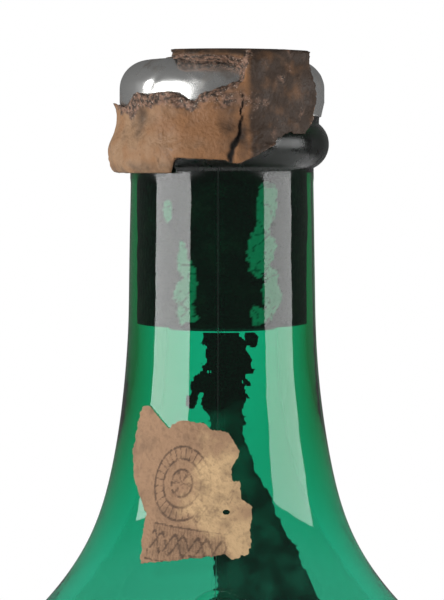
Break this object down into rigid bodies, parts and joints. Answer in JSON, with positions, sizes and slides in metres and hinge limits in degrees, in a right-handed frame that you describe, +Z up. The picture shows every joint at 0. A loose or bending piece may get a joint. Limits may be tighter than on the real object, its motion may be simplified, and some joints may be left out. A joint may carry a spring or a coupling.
{
  "type": "wine bottle",
  "caption": "Upright green glass wine bottle with long cork, dark wine, tin cap, broken wax seal, torn paper stamp and a dried deposit trail inside the neck.",
  "frame": {"origin": "centre of the foot ring, on the surface the bottle stands on", "axes": "+Z up along the bottle's axis, front with the paper stamp towards -Y, +X to the right of the front view"},
  "size_m": [0.08, 0.08, 0.2965],
  "materials": {
    "green_glass": "clear green bottle glass with dust and fine scratches",
    "cork": "old dark stained cork",
    "wine": "dark tawny red liquid",
    "tin": "bright tin foil, creased, a little tarnished",
    "wax": "old brown sealing wax with sooty patches and grainy breaks",
    "stamp_paper": "aged brown paper, rubbed and torn, faded ink",
    "deposit": "dried dark wine deposit"
  },
  "bodies": {
    "root": {"bottle": "green_glass", "cork": "cork", "wine": "wine", "tin_cap": "tin", "wax_seal": "wax", "label": "stamp_paper", "deposit": "deposit"}
  },
  "joints": []
}
